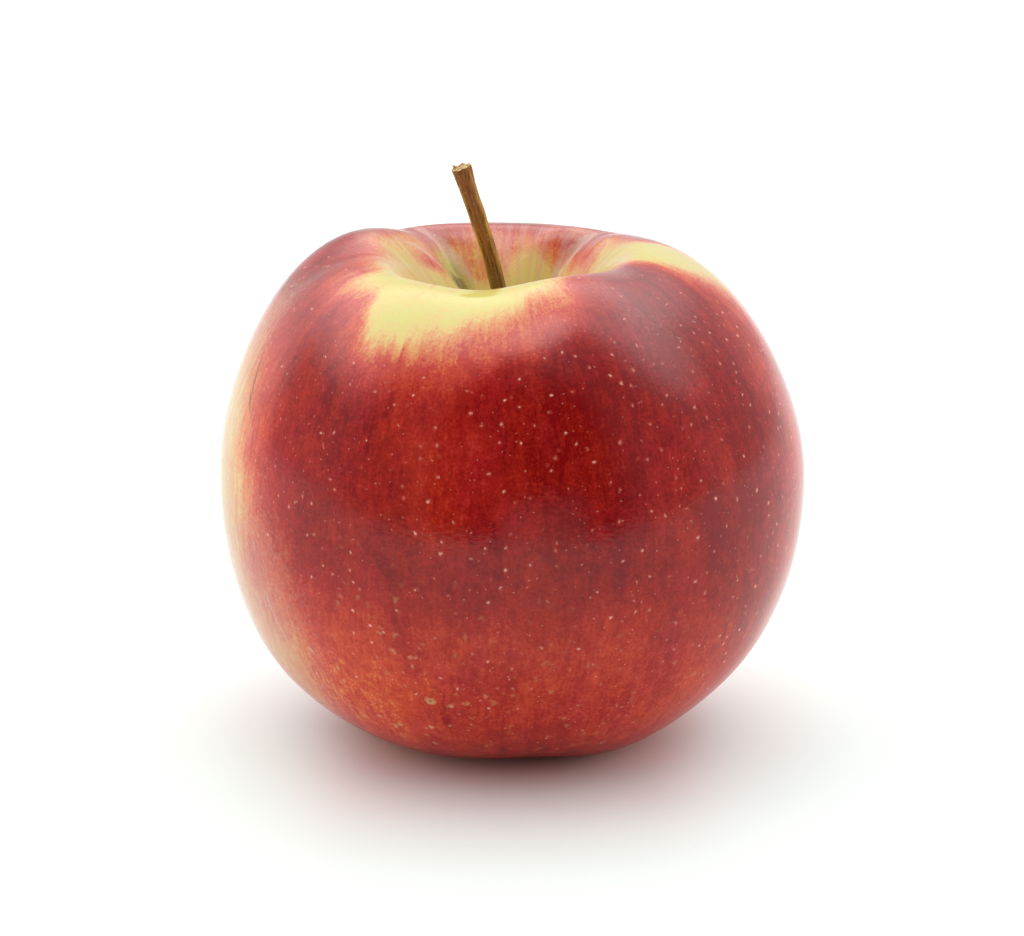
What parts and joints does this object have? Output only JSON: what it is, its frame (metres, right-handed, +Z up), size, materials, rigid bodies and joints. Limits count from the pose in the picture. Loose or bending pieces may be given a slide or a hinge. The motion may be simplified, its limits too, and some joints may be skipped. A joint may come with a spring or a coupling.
{
  "type": "red apple",
  "caption": "Whole ripe dessert apple with five soft lobes, a stem leaning from its top hollow and the dried flower in its base. It rests on small flat spots around its foot.",
  "frame": {"origin": "on the surface that the apple rests on, below the middle of its box", "axes": "+Z up along the core, -Y towards the front of the apple, where the lip of the stem hollow dips, +X to its right"},
  "size_m": [0.0764, 0.0763, 0.0756],
  "materials": {
    "skin": "waxy apple skin, crimson streaks over yellow-green, with pale specks",
    "stem_bark": "dry ridged brown stem",
    "dried_sepal": "dry crinkled leaf, matte",
    "dried_stamen": "shrivelled dark thread, matte"
  },
  "bodies": {
    "root": {"fruit": "skin", "stem": "stem_bark", "sepal_1": "dried_sepal", "sepal_2": "dried_sepal", "sepal_3": "dried_sepal", "sepal_4": "dried_sepal", "sepal_5": "dried_sepal", "stamen_1": "dried_stamen", "stamen_2": "dried_stamen", "stamen_3": "dried_stamen", "stamen_4": "dried_stamen", "stamen_5": "dried_stamen", "stamen_6": "dried_stamen", "stamen_7": "dried_stamen", "stamen_8": "dried_stamen", "stamen_9": "dried_stamen", "stamen_10": "dried_stamen", "stamen_11": "dried_stamen", "stamen_12": "dried_stamen", "style": "dried_stamen"}
  },
  "joints": []
}
